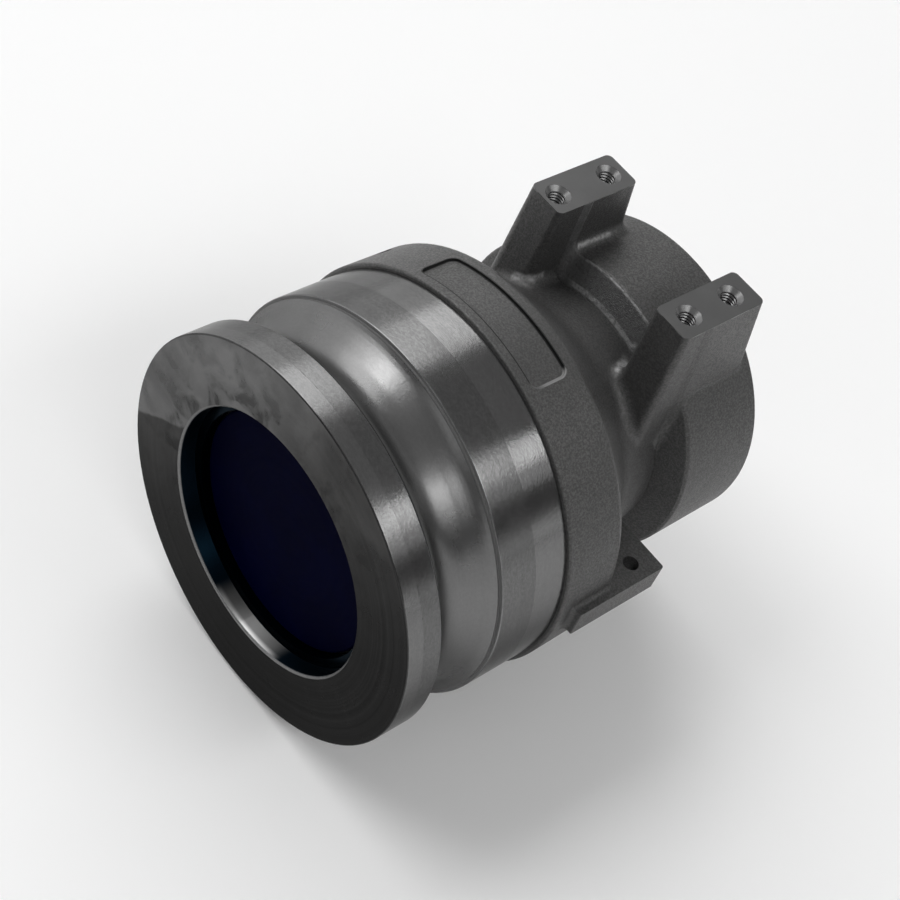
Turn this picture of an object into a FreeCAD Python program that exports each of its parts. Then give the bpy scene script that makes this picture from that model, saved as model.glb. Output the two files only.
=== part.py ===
import FreeCAD, Part
import math
import os

# Vapour recovery adapter: a four inch cam groove nose turned in one piece, locked into a cast body
# with a three inch pipe thread, and a spring loaded poppet inside.
# The axis lies along Y, the nose mouth faces -Y and the pipe mouth +Y. The origin is the centre of
# the pipe mouth, the two mounting lugs stand up along +Z and the drilled tab points along +X.

# Overall lengths along the axis
OVERALL_LENGTH = 143.6
FLANGE_LENGTH = 11.25
GROOVE_LENGTH = 21.05
LAND_LENGTH = 22.95
RING_LENGTH = 21.15
COLLAR_LENGTH = 29.3

# Nose, outside
NOSE_RADIUS = 59.75
FLANGE_FRONT_ROUND = 0.6
EDGE_BREAK = 0.35
GROOVE_LIP = 1.05
GROOVE_DEPTH = 7.65
LAND_DROP = 0.2

# Nose, inside
NOSE_WALL = 20.6
BORE_RADIUS = NOSE_RADIUS - NOSE_WALL
BORE_CHAMFER = 0.8
BORE_DEPTH = 5.8
LEDGE = 2.75
SEAT_OPENING_RADIUS = BORE_RADIUS - LEDGE
SEAT_START = 9.5
SEAT_WIDTH = 4.6
SEAT_OUTER_RADIUS = SEAT_OPENING_RADIUS + SEAT_WIDTH
SPIGOT_STEP = 7.75
SPIGOT_RADIUS = NOSE_RADIUS - SPIGOT_STEP
SPIGOT_WALL = 5.5
NOSE_CAVITY_RADIUS = SPIGOT_RADIUS - SPIGOT_WALL
CAVITY_CORNER = 4.0
SPIGOT_LENGTH = 16.75
SPIGOT_CHAMFER = 0.8

# Joint between nose and body
SPIGOT_CLEARANCE = 0.05
JOINT_ORING_SECTION = 1.12
JOINT_GROOVE_DEPTH = 2.2
JOINT_GROOVE_WIDTH = 3.4
JOINT_GROOVE_FRONT = 4.75
LOCK_SCREW_ANGLE = 142.0
LOCK_SCREW_STATION = 13.0
LOCK_HOLE_RADIUS = 2.55
LOCK_SCREW_RADIUS = 2.5
LOCK_SCREW_LENGTH = 6.0
LOCK_SCREW_BITE = 0.9
DRILL_OVERRUN = 1.8
LOCK_SOCKET_FLATS = 2.5
LOCK_SOCKET_DEPTH = 2.4

# Body, outside
RING_STANDOUT = 1.2
RING_RADIUS = NOSE_RADIUS + RING_STANDOUT
RING_DRAFT = 0.35
RING_FRONT_ROUND = 0.8
RING_REAR_ROUND = 2.5
VALLEY_DEPTH = 4.75
VALLEY_RADIUS = RING_RADIUS - VALLEY_DEPTH
VALLEY_RISE = 2.0
NECK_PART = 0.455
NECK_REACH_PART = 0.1
NECK_WALL = 5.4
NECK_SWELL = 2.5
COLLAR_WALL = 4.9
COLLAR_SLOPE = 3.9
COLLAR_DRAFT = 0.15
COLLAR_FRONT_FILLET = 1.3
COLLAR_FRONT_ROUND = 1.2
COLLAR_EDGE_ROUND = 0.7

# Body, inside
SPIDER_SEAT_DEPTH = 5.1
SPIDER_LEDGE = 6.0
PASSAGE_RADIUS = SPIGOT_RADIUS - SPIDER_LEDGE
PASSAGE_STRAIGHT_PART = 0.06
NECK_BORE_PART = 0.5
PASSAGE_REACH_PART = 0.07
THREAD_RADIUS = 44.45
THREAD_STEP = 9.95
NECK_BORE_RADIUS = THREAD_RADIUS - THREAD_STEP
NECK_RADIUS = NECK_BORE_RADIUS + NECK_WALL
NECK_FRONT_RADIUS = NECK_RADIUS + NECK_SWELL
COLLAR_RADIUS = THREAD_RADIUS + COLLAR_WALL
THREAD_DEPTH = 24.6
THREAD_RELIEF = 1.2
MOUTH_CHAMFER = 0.4

# Mounting lugs
LUG_RISE = 15.85
LUG_TOP = COLLAR_RADIUS + LUG_RISE
LUG_WIDTH = 12.8
LUG_INSET = 23.65
LUG_CENTRE = COLLAR_RADIUS - LUG_INSET
LUG_SPREAD = 3.4
LUG_LEAN_FRONT = 3.4
LUG_LEAN_REAR = 11.0
LUG_REAR_LIMIT = 1.6
LUG_HEIGHT = 55.2
LUG_FOOT = LUG_TOP - LUG_HEIGHT
LUG_CORNER = 1.8
LUG_FOOT_CORNER = 4.0
LUG_BLEND = 3.2
LEFT_LUG_OVERHANG = 13.5
LEFT_LUG_FRONT = COLLAR_LENGTH + LEFT_LUG_OVERHANG
LEFT_LUG_LENGTH = 31.1
LEFT_HOLE_FRONT = 5.0
LEFT_HOLE_SPACING = 20.0
RIGHT_LUG_OVERHANG = 12.1
RIGHT_LUG_FRONT = COLLAR_LENGTH + RIGHT_LUG_OVERHANG
RIGHT_LUG_LENGTH = 32.2
RIGHT_HOLE_FRONT = 7.3
RIGHT_HOLE_SPACING = 16.9
LUG_HOLE_RADIUS = 2.6
LUG_HOLE_DEPTH = 13.5
LUG_COUNTERSINK_RADIUS = 3.92
DRILL_POINT = 1.4

# Tab
TAB_STANDOUT = 2.75
TAB_REACH = RING_RADIUS + TAB_STANDOUT
TAB_TOP = 4.7
TAB_THICKNESS = 9.4
TAB_FRONT_SETBACK = 5.75
TAB_TAIL_PART = 0.5175
TAB_INNER = NECK_RADIUS
TAB_CORNER = 0.8
TAB_BLEND = 1.5
TAB_HOLE_RADIUS = 2.4
TAB_HOLE_EDGE = 5.9
TAB_HOLE_REACH = TAB_REACH - TAB_HOLE_EDGE
TAB_HOLE_TAIL = 8.0

# Bare panel sunk in the top of the ring
PANEL_MIDDLE_ANGLE = 92.5
PANEL_SPAN = 47.0
PANEL_FRONT_SETBACK = 3.3
PANEL_LENGTH = 12.6
PANEL_DEPTH = 0.9
PANEL_CORNER = 2.6

# Poppet
HEAD_CLEARANCE = 0.5
HEAD_BOSS_RADIUS = SEAT_OPENING_RADIUS - HEAD_CLEARANCE
HEAD_FRONT = 8.0
HEAD_BOSS_LENGTH = 3.0
HEAD_HUB_STEP = 5.9
HEAD_HUB_RADIUS = HEAD_BOSS_RADIUS - HEAD_HUB_STEP
HEAD_HUB_LENGTH = 5.0
HEAD_EDGE = 0.8
SEAL_GAP = 0.3
SEAL_FLAT = 0.5
SEAL_LIP = 0.2
SEAL_SHOULDER_RADIUS = SEAT_OUTER_RADIUS + SEAL_LIP
PLATE_LIP = 0.3
PLATE_RADIUS = SEAL_SHOULDER_RADIUS + PLATE_LIP
PLATE_THICKNESS = 3.0
PLATE_EDGE = 0.6
CLAMP_SCREW_COUNT = 4
CLAMP_EDGE = 5.0
CLAMP_PITCH_RADIUS = HEAD_HUB_RADIUS - CLAMP_EDGE
CLAMP_HOLE_RADIUS = 2.7
CLAMP_SCREW_RADIUS = 2.5
CLAMP_SCREW_REACH = 6.0
CLAMP_HEAD_RADIUS = 4.2
CLAMP_HEAD_HEIGHT = 3.0
CLAMP_SOCKET_FLATS = 4.0
CLAMP_SOCKET_DEPTH = 1.8

# Stem and spring
STEM_RADIUS = 6.0
STEM_NOSE_RADIUS = 5.0
STEM_NOSE_LENGTH = 22.0
STEM_LENGTH = 82.0
STEM_CHAMFER = 0.8
STEM_SOCKET = 1.0
NUT_FLATS = 19.0
NUT_HEIGHT = 7.0
NUT_CHAMFER = 0.7
NUT_CROWN = 1.05
CUP_CLEARANCE = 1.3
CUP_RADIUS = CLAMP_PITCH_RADIUS - CLAMP_HEAD_RADIUS - CUP_CLEARANCE
CUP_THICKNESS = 3.0
CUP_RIM_RADIUS = 14.0
CUP_RIM_HEIGHT = 4.0
CUP_WALL = 1.8
SPRING_RADIUS = 16.3
SPRING_WIRE = 1.25
SPRING_TURNS = 5.0

# Guide
SPIDER_RING_CLEARANCE = 0.1
SPIDER_RING_WALL = 7.4
SPIDER_ARMS = 3
SPIDER_ARM_WIDTH = 6.0
SPIDER_ARM_ANGLE = 90.0
ARM_OVERLAP = 1.0
HUB_RADIUS = 11.0
HUB_FRONT_REACH = 8.1
HUB_LENGTH = 20.0
HUB_FLANGE_RADIUS = 19.5
HUB_FLANGE_THICKNESS = 3.0
BUSH_OUTER_RADIUS = 8.0
BUSH_CLEARANCE = 0.05
BUSH_FLANGE_RADIUS = 10.5
BUSH_FLANGE_THICKNESS = 1.5
CLIP_GROOVE_RADIUS = 5.2
CLIP_THICKNESS = 1.2
CLIP_RADIUS = 8.2
CLIP_GAP = 0.5
CLIP_MOUTH = 7.0

# Stations along Y, each from the ones before it
NOSE_FACE = -OVERALL_LENGTH
FLANGE_BACK = NOSE_FACE + FLANGE_LENGTH
LAND_FRONT = FLANGE_BACK + GROOVE_LENGTH
RING_FRONT = LAND_FRONT + LAND_LENGTH
RING_BACK = RING_FRONT + RING_LENGTH
SPIGOT_END = RING_FRONT + SPIGOT_LENGTH
SOCKET_FLOOR = SPIGOT_END + SPIDER_SEAT_DEPTH
COLLAR_FRONT = -COLLAR_LENGTH
COLLAR_ROOT = COLLAR_FRONT - COLLAR_SLOPE
THREAD_FLOOR = -THREAD_DEPTH
WAIST = COLLAR_ROOT - RING_BACK
PASSAGE = THREAD_FLOOR - SOCKET_FLOOR
HEAD_FACE = NOSE_FACE + HEAD_FRONT
SEAL_FACE = HEAD_FACE + HEAD_BOSS_LENGTH
PLATE_FRONT = SEAL_FACE + HEAD_HUB_LENGTH
PLATE_BACK = PLATE_FRONT + PLATE_THICKNESS
CUP_BACK = PLATE_BACK + CUP_THICKNESS
STEM_FRONT = HEAD_FACE + HEAD_BOSS_LENGTH - STEM_SOCKET
SHANK_FRONT = STEM_FRONT + STEM_NOSE_LENGTH
STEM_BACK = STEM_FRONT + STEM_LENGTH
HUB_FRONT = SPIGOT_END - HUB_FRONT_REACH
HUB_BACK = HUB_FRONT + HUB_LENGTH

AXIS = FreeCAD.Vector(0, 1, 0)
UP = FreeCAD.Vector(0, 0, 1)
CENTRE = FreeCAD.Vector(0, 0, 0)
NEAR = 0.01
SAME_POINT = 1e-6
SKEW = FreeCAD.Vector(0.3, 0.5, 0.8)
EDGE_SAMPLES = (0.2, 0.5, 0.8)


def at(radius, station):
    """A point of a turned outline, drawn on the underside of the axis."""
    return FreeCAD.Vector(0, station, -radius)


def rounded(corners):
    """Closed wire through (point, radius) corners, each radius a tangent arc."""
    edges = []
    ends = []
    count = len(corners)
    for index, (point, radius) in enumerate(corners):
        before = corners[index - 1][0] - point
        after = corners[(index + 1) % count][0] - point
        if radius <= 0:
            ends.append((point, None, point))
            continue
        half = before.getAngle(after) / 2
        before.normalize()
        after.normalize()
        reach = radius / math.tan(half)
        middle = before + after
        middle.normalize()
        top = point + middle * (radius / math.sin(half) - radius)
        ends.append((point + before * reach, top, point + after * reach))
    for index, (start, top, finish) in enumerate(ends):
        if top is not None:
            edges.append(Part.Arc(start, top, finish).toShape())
        following = ends[(index + 1) % count][0]
        if (following - finish).Length > SAME_POINT:
            edges.append(Part.LineSegment(finish, following).toShape())
    return Part.Wire(edges)


def bend_radius(reach, fall, run):
    """Radius of the arc that takes this reach of both sides where a straight side starts to fall."""
    return reach / math.tan(math.atan2(fall, run) / 2)


def turned(corners):
    """Solid of revolution about the axis from (radius, station, round) corners."""
    wire = rounded([(at(radius, station), corner) for radius, station, corner in corners])
    return Part.Face(wire).revolve(CENTRE, AXIS, 360)


def rod(radius, start, finish):
    return Part.makeCylinder(radius, finish - start, FreeCAD.Vector(0, start, 0), AXIS)


def tube(outer, inner, start, finish):
    return rod(outer, start, finish).cut(rod(inner, start, finish))


def hexagon(flats, start, length, place=CENTRE, along=AXIS):
    """Six sided prism, measured across its flats, from a point along a direction."""
    side = along.cross(SKEW)
    side.normalize()
    other = along.cross(side)
    reach = flats / 2 / math.cos(math.pi / 6)
    points = []
    for index in range(6):
        turn = math.pi / 3 * index
        across = side * math.cos(turn) + other * math.sin(turn)
        points.append(place + along * start + across * reach)
    return Part.Face(Part.makePolygon(points + points[:1])).extrude(along * length)


def save(shape, name):
    shape.exportStep("parts/" + name + ".step")


def lock_direction():
    turn = math.radians(LOCK_SCREW_ANGLE)
    return FreeCAD.Vector(math.cos(turn), 0, math.sin(turn))


def lock_place():
    return FreeCAD.Vector(0, RING_FRONT + LOCK_SCREW_STATION, 0)


def lock_hole_bottom():
    return SPIGOT_RADIUS - LOCK_SCREW_BITE


def nose():
    """Turned nose: flange, cam groove and land outside, bore, seat and cavity inside."""
    bottom = NOSE_RADIUS - GROOVE_DEPTH
    land = NOSE_RADIUS - LAND_DROP
    groove_front = RING_FRONT + JOINT_GROOVE_FRONT
    groove_back = groove_front + JOINT_GROOVE_WIDTH
    groove_floor = SPIGOT_RADIUS - JOINT_GROOVE_DEPTH
    middle = (FLANGE_BACK + LAND_FRONT) / 2
    half = (LAND_FRONT - FLANGE_BACK) / 2
    sweep = (half * half + GROOVE_DEPTH * GROOVE_DEPTH) / (2 * GROOVE_DEPTH)
    seat_rise = SEAT_OUTER_RADIUS - SEAT_OPENING_RADIUS
    seat_end = NOSE_FACE + SEAT_START + seat_rise
    body = turned([
        (BORE_RADIUS + BORE_CHAMFER, NOSE_FACE, 0),
        (NOSE_RADIUS, NOSE_FACE, FLANGE_FRONT_ROUND),
        (NOSE_RADIUS, FLANGE_BACK, EDGE_BREAK),
        (NOSE_RADIUS - GROOVE_LIP, FLANGE_BACK, 0),
        (land - GROOVE_LIP, LAND_FRONT, 0),
        (land, LAND_FRONT, EDGE_BREAK),
        (land, RING_FRONT, 0),
        (SPIGOT_RADIUS, RING_FRONT, 0),
        (SPIGOT_RADIUS, groove_front, 0),
        (groove_floor, groove_front, 0),
        (groove_floor, groove_back, 0),
        (SPIGOT_RADIUS, groove_back, 0),
        (SPIGOT_RADIUS, SPIGOT_END - SPIGOT_CHAMFER, 0),
        (SPIGOT_RADIUS - SPIGOT_CHAMFER, SPIGOT_END, 0),
        (NOSE_CAVITY_RADIUS, SPIGOT_END, 0),
        (NOSE_CAVITY_RADIUS, seat_end, CAVITY_CORNER),
        (SEAT_OUTER_RADIUS, seat_end, 0),
        (SEAT_OPENING_RADIUS, NOSE_FACE + SEAT_START, 0),
        (SEAT_OPENING_RADIUS, NOSE_FACE + BORE_DEPTH, 0),
        (BORE_RADIUS, NOSE_FACE + BORE_DEPTH, 0),
        (BORE_RADIUS, NOSE_FACE + BORE_CHAMFER, 0),
    ])
    start = at(NOSE_RADIUS, FLANGE_BACK + EDGE_BREAK)
    finish = at(NOSE_RADIUS, LAND_FRONT - EDGE_BREAK)
    arc = Part.Arc(start, at(bottom, middle), finish).toShape()
    rim = [at(NOSE_RADIUS + sweep, LAND_FRONT - EDGE_BREAK), at(NOSE_RADIUS + sweep, FLANGE_BACK + EDGE_BREAK)]
    closing = [Part.LineSegment(finish, rim[0]).toShape()]
    closing.append(Part.LineSegment(rim[0], rim[1]).toShape())
    closing.append(Part.LineSegment(rim[1], start).toShape())
    groove = Part.Face(Part.Wire([arc] + closing)).revolve(CENTRE, AXIS, 360)
    body = body.cut(groove)
    dimple = Part.makeCylinder(LOCK_SCREW_RADIUS, LOCK_SCREW_BITE + DRILL_OVERRUN,
                               lock_place() + lock_direction() * lock_hole_bottom(), lock_direction())
    return body.cut(dimple)


def body_outside():
    """Turned outside of the casting, solid through the middle."""
    neck_front = COLLAR_ROOT - WAIST * NECK_PART
    bend = bend_radius(WAIST * NECK_REACH_PART, VALLEY_RADIUS - NECK_FRONT_RADIUS, neck_front - RING_BACK)
    return turned([
        (0, RING_FRONT, 0),
        (RING_RADIUS, RING_FRONT, RING_FRONT_ROUND),
        (RING_RADIUS - RING_DRAFT, RING_BACK, RING_REAR_ROUND),
        (VALLEY_RADIUS, RING_BACK, VALLEY_RISE),
        (NECK_FRONT_RADIUS, neck_front, bend),
        (NECK_RADIUS, COLLAR_ROOT, 0),
        (COLLAR_RADIUS, COLLAR_FRONT, COLLAR_FRONT_ROUND),
        (COLLAR_RADIUS - COLLAR_DRAFT, 0, COLLAR_EDGE_ROUND),
        (0, 0, 0),
    ])


def body_inside():
    """Socket for the nose, tapering passage and thread cavity, cut out in one piece."""
    socket = SPIGOT_RADIUS + SPIGOT_CLEARANCE
    run = PASSAGE * (1 - PASSAGE_STRAIGHT_PART - NECK_BORE_PART)
    bend = bend_radius(PASSAGE * PASSAGE_REACH_PART, PASSAGE_RADIUS - NECK_BORE_RADIUS, run)
    return turned([
        (0, RING_FRONT, 0),
        (socket, RING_FRONT, 0),
        (socket, SOCKET_FLOOR, 0),
        (PASSAGE_RADIUS, SOCKET_FLOOR, 0),
        (PASSAGE_RADIUS, SOCKET_FLOOR + PASSAGE * PASSAGE_STRAIGHT_PART, bend),
        (NECK_BORE_RADIUS, THREAD_FLOOR - PASSAGE * NECK_BORE_PART, bend),
        (NECK_BORE_RADIUS, THREAD_FLOOR, 0),
        (THREAD_RADIUS, THREAD_FLOOR, THREAD_RELIEF),
        (THREAD_RADIUS, -MOUTH_CHAMFER, 0),
        (THREAD_RADIUS + MOUTH_CHAMFER, 0, 0),
        (0, 0, 0),
    ])


def lug_section(side, front, length, spread, lean_front, lean_rear, height, corner):
    near = side * (LUG_CENTRE - LUG_WIDTH / 2)
    far = side * (LUG_CENTRE + LUG_WIDTH / 2 + spread)
    first = -front - lean_front
    last = -front + length + lean_rear
    points = [(near, first), (far, first), (far, last), (near, last)]
    return rounded([(FreeCAD.Vector(x, y, height), corner) for x, y in points])


def lug(side, front, length):
    """Drafted block: straight inner flank, the other three sides spread to the foot."""
    top = lug_section(side, front, length, 0, 0, 0, LUG_TOP, LUG_CORNER)
    foot = lug_section(side, front, length, LUG_SPREAD, LUG_LEAN_FRONT, LUG_LEAN_REAR, LUG_FOOT,
                       LUG_FOOT_CORNER)
    reach = OVERALL_LENGTH
    keep = Part.makeBox(reach * 2, reach, reach, FreeCAD.Vector(-reach, -reach - LUG_REAR_LIMIT, 0))
    return Part.makeLoft([top, foot], True, True).common(keep)


def lug_holes(side, front, setback, spacing):
    """Two tapped holes with turned countersinks, drilled down from the lug top."""
    holes = []
    for step in (0, spacing):
        place = FreeCAD.Vector(side * LUG_CENTRE, -front + setback + step, LUG_TOP)
        bottom = place - UP * LUG_HOLE_DEPTH
        sink = LUG_COUNTERSINK_RADIUS - LUG_HOLE_RADIUS
        holes.append(Part.makeCylinder(LUG_HOLE_RADIUS, LUG_HOLE_DEPTH, bottom, UP))
        holes.append(Part.makeCone(0, LUG_HOLE_RADIUS, DRILL_POINT, bottom - UP * DRILL_POINT, UP))
        holes.append(Part.makeCone(LUG_HOLE_RADIUS, LUG_COUNTERSINK_RADIUS, sink, place - UP * sink, UP))
    return holes


def tab():
    front = RING_FRONT + TAB_FRONT_SETBACK
    back = RING_BACK + WAIST * TAB_TAIL_PART
    floor = TAB_TOP - TAB_THICKNESS
    corners = [(TAB_INNER, front, 0), (TAB_REACH, front, TAB_CORNER / 2), (TAB_REACH, back, TAB_CORNER)]
    corners.append((TAB_INNER, back, 0))
    wire = rounded([(FreeCAD.Vector(x, y, floor), corner) for x, y, corner in corners])
    return Part.Face(wire).extrude(UP * TAB_THICKNESS)


def panel_recess():
    """Shallow panel with rounded corners, sunk in the top of the ring."""
    front = RING_FRONT + PANEL_FRONT_SETBACK
    start = math.radians(PANEL_MIDDLE_ANGLE - PANEL_SPAN / 2)
    span = math.radians(PANEL_SPAN)
    floor = RING_RADIUS - PANEL_DEPTH
    rise = RING_RADIUS + PANEL_DEPTH
    ring = Part.makeCylinder(rise, PANEL_LENGTH, FreeCAD.Vector(0, front, 0), AXIS)
    ring = ring.cut(Part.makeCylinder(floor, PANEL_LENGTH, FreeCAD.Vector(0, front, 0), AXIS))
    reach = RING_RADIUS * 2
    side = FreeCAD.Vector(math.cos(start) * reach, front, math.sin(start) * reach)
    other = FreeCAD.Vector(math.cos(start + span) * reach, front, math.sin(start + span) * reach)
    middle = FreeCAD.Vector(0, front, 0)
    wedge = Part.Face(Part.makePolygon([middle, side, other, middle])).extrude(AXIS * PANEL_LENGTH)
    panel = ring.common(wedge).Solids[0]
    corners = [edge for edge in panel.Edges if abs(edge.Length - (rise - floor)) < NEAR]
    return panel.makeFillet(PANEL_CORNER, corners)


def lies_on(edge, solid):
    """True when three points along the edge lie on the skin of the solid."""
    span = edge.LastParameter - edge.FirstParameter
    points = [edge.valueAt(edge.FirstParameter + span * part) for part in EDGE_SAMPLES]
    return all(solid.Shells[0].distToShape(Part.Vertex(point))[0] < NEAR for point in points)


def blended(shape, pieces, casting, radius):
    """Fillet every edge where the pieces meet the turned casting."""
    edges = []
    for piece in pieces:
        edges += [edge for edge in shape.Edges if lies_on(edge, piece) and lies_on(edge, casting)]
    return shape.makeFillet(radius, edges).Solids[0]


def neck_fillet():
    """Turned ring that rounds the corner between the neck and the collar's sloping front."""
    swell = COLLAR_FRONT_FILLET * NECK_SWELL / (WAIST * NECK_PART)
    slope = math.hypot(COLLAR_SLOPE, COLLAR_RADIUS - NECK_RADIUS)
    rise = COLLAR_FRONT_FILLET * (COLLAR_RADIUS - NECK_RADIUS) / slope
    run = COLLAR_FRONT_FILLET * COLLAR_SLOPE / slope
    return turned([
        (NECK_RADIUS - EDGE_BREAK, COLLAR_ROOT - COLLAR_FRONT_FILLET, 0),
        (NECK_RADIUS + swell, COLLAR_ROOT - COLLAR_FRONT_FILLET, 0),
        (NECK_RADIUS, COLLAR_ROOT, COLLAR_FRONT_FILLET),
        (NECK_RADIUS + rise, COLLAR_ROOT + run, 0),
        (NECK_RADIUS + rise, COLLAR_ROOT + run + EDGE_BREAK, 0),
        (NECK_RADIUS - EDGE_BREAK, COLLAR_ROOT + run + EDGE_BREAK, 0),
    ])


def casting_with_lugs():
    """Outside of the casting with both lugs and the tab blended in."""
    turning = body_outside()
    lugs = [lug(-1, LEFT_LUG_FRONT, LEFT_LUG_LENGTH), lug(1, RIGHT_LUG_FRONT, RIGHT_LUG_LENGTH)]
    plate = tab()
    shape = turning.fuse(lugs + [plate]).Solids[0]
    shape = blended(shape, lugs, turning, LUG_BLEND)
    shape = blended(shape, [plate], turning, TAB_BLEND)
    return shape.fuse(neck_fillet())


def body():
    shape = casting_with_lugs()
    cuts = [body_inside(), panel_recess()]
    cuts += lug_holes(-1, LEFT_LUG_FRONT, LEFT_HOLE_FRONT, LEFT_HOLE_SPACING)
    cuts += lug_holes(1, RIGHT_LUG_FRONT, RIGHT_HOLE_FRONT, RIGHT_HOLE_SPACING)
    tab_hole = RING_BACK + WAIST * TAB_TAIL_PART - TAB_HOLE_TAIL
    tab_middle = FreeCAD.Vector(TAB_HOLE_REACH, tab_hole, TAB_TOP - TAB_THICKNESS - TAB_BLEND)
    cuts.append(Part.makeCylinder(TAB_HOLE_RADIUS, TAB_THICKNESS + TAB_BLEND * 2, tab_middle, UP))
    start = lock_place() + lock_direction() * lock_hole_bottom()
    length = RING_RADIUS - lock_hole_bottom() + DRILL_OVERRUN
    cuts.append(Part.makeCylinder(LOCK_HOLE_RADIUS, length, start, lock_direction()))
    return shape.cut(cuts)


def joint_oring():
    groove_floor = SPIGOT_RADIUS - JOINT_GROOVE_DEPTH
    station = RING_FRONT + JOINT_GROOVE_FRONT + JOINT_GROOVE_WIDTH / 2
    centre = groove_floor + JOINT_ORING_SECTION
    return Part.makeTorus(centre, JOINT_ORING_SECTION, FreeCAD.Vector(0, station, 0), AXIS)


def lock_screw():
    start = lock_place() + lock_direction() * lock_hole_bottom()
    shape = Part.makeCylinder(LOCK_SCREW_RADIUS, LOCK_SCREW_LENGTH, start, lock_direction())
    socket = hexagon(LOCK_SOCKET_FLATS, LOCK_SCREW_LENGTH - LOCK_SOCKET_DEPTH, LOCK_SOCKET_DEPTH,
                     start, lock_direction())
    return shape.cut(socket)


def poppet_head():
    """Front disc that closes the seat opening, with a hub for the seal behind it."""
    shape = turned([
        (0, HEAD_FACE, 0),
        (HEAD_BOSS_RADIUS, HEAD_FACE, HEAD_EDGE),
        (HEAD_BOSS_RADIUS, SEAL_FACE, 0),
        (HEAD_HUB_RADIUS, SEAL_FACE, 0),
        (HEAD_HUB_RADIUS, PLATE_FRONT, 0),
        (0, PLATE_FRONT, 0),
    ])
    shape = shape.cut(rod(STEM_NOSE_RADIUS, STEM_FRONT, PLATE_FRONT))
    return shape.cut([
        Part.makeCylinder(CLAMP_SCREW_RADIUS, CLAMP_SCREW_REACH, place - AXIS * CLAMP_SCREW_REACH, AXIS)
        for place in clamp_places(PLATE_FRONT)
    ])


def clamp_places(station):
    places = []
    for index in range(CLAMP_SCREW_COUNT):
        turn = 2 * math.pi * (index + 0.5) / CLAMP_SCREW_COUNT
        places.append(FreeCAD.Vector(CLAMP_PITCH_RADIUS * math.cos(turn), station,
                                     CLAMP_PITCH_RADIUS * math.sin(turn)))
    return places


def poppet_seal():
    """Moulded ring whose sloping face meets the seat cone."""
    gap = SEAL_GAP * math.sqrt(2)
    cone_start = NOSE_FACE + SEAT_START - SEAT_OPENING_RADIUS
    inner = SEAL_FACE - cone_start - gap
    outer_station = cone_start + SEAL_SHOULDER_RADIUS + gap
    return turned([
        (HEAD_HUB_RADIUS, SEAL_FACE, 0),
        (inner, SEAL_FACE, 0),
        (SEAL_SHOULDER_RADIUS - SEAL_FLAT, outer_station - SEAL_FLAT, 0),
        (SEAL_SHOULDER_RADIUS, outer_station, 0),
        (SEAL_SHOULDER_RADIUS, PLATE_FRONT, 0),
        (HEAD_HUB_RADIUS, PLATE_FRONT, 0),
    ])


def clamp_plate():
    shape = turned([
        (STEM_NOSE_RADIUS, PLATE_FRONT, 0),
        (PLATE_RADIUS, PLATE_FRONT, 0),
        (PLATE_RADIUS, PLATE_BACK, PLATE_EDGE),
        (STEM_NOSE_RADIUS, PLATE_BACK, 0),
    ])
    return shape.cut([
        Part.makeCylinder(CLAMP_HOLE_RADIUS, PLATE_THICKNESS, place, AXIS)
        for place in clamp_places(PLATE_FRONT)
    ])


def clamp_screws():
    screws = []
    for place in clamp_places(PLATE_BACK):
        length = PLATE_THICKNESS + CLAMP_SCREW_REACH
        shank = Part.makeCylinder(CLAMP_SCREW_RADIUS, length, place - AXIS * length, AXIS)
        head = Part.makeCylinder(CLAMP_HEAD_RADIUS, CLAMP_HEAD_HEIGHT, place, AXIS)
        socket = hexagon(CLAMP_SOCKET_FLATS, CLAMP_HEAD_HEIGHT - CLAMP_SOCKET_DEPTH, CLAMP_SOCKET_DEPTH, place)
        screws.append(shank.fuse(head).cut(socket))
    return Part.Compound(screws)


def poppet_stem():
    shape = turned([
        (0, STEM_FRONT, 0),
        (STEM_NOSE_RADIUS, STEM_FRONT, 0),
        (STEM_NOSE_RADIUS, SHANK_FRONT, 0),
        (STEM_RADIUS, SHANK_FRONT, 0),
        (STEM_RADIUS, STEM_BACK - STEM_CHAMFER, 0),
        (STEM_RADIUS - STEM_CHAMFER, STEM_BACK, 0),
        (0, STEM_BACK, 0),
    ])
    front = HUB_BACK + CLIP_GAP
    return shape.cut(tube(STEM_RADIUS * 2, CLIP_GROOVE_RADIUS, front, front + CLIP_THICKNESS))


def stem_nut():
    shape = hexagon(NUT_FLATS, CUP_BACK, NUT_HEIGHT)
    corner = NUT_FLATS / 2 / math.cos(math.pi / 6)
    crown = turned([
        (0, CUP_BACK, 0),
        (corner - EDGE_BREAK, CUP_BACK, 0),
        (corner, CUP_BACK + NUT_CHAMFER, 0),
        (corner, CUP_BACK + NUT_HEIGHT - NUT_CHAMFER, 0),
        (corner - NUT_CROWN, CUP_BACK + NUT_HEIGHT, 0),
        (0, CUP_BACK + NUT_HEIGHT, 0),
    ])
    return shape.common(crown).cut(rod(STEM_NOSE_RADIUS, CUP_BACK, CUP_BACK + NUT_HEIGHT))


def spring_cup():
    """Turned cup that centres the spring on the back of the clamp plate."""
    rim_top = CUP_BACK + CUP_RIM_HEIGHT
    return turned([
        (STEM_NOSE_RADIUS, PLATE_BACK, 0),
        (CUP_RADIUS, PLATE_BACK, 0),
        (CUP_RADIUS, CUP_BACK, 0),
        (CUP_RIM_RADIUS, CUP_BACK, 0),
        (CUP_RIM_RADIUS, rim_top, 0),
        (CUP_RIM_RADIUS - CUP_WALL, rim_top, 0),
        (CUP_RIM_RADIUS - CUP_WALL, CUP_BACK, 0),
        (STEM_NOSE_RADIUS, CUP_BACK, 0),
    ])


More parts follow.
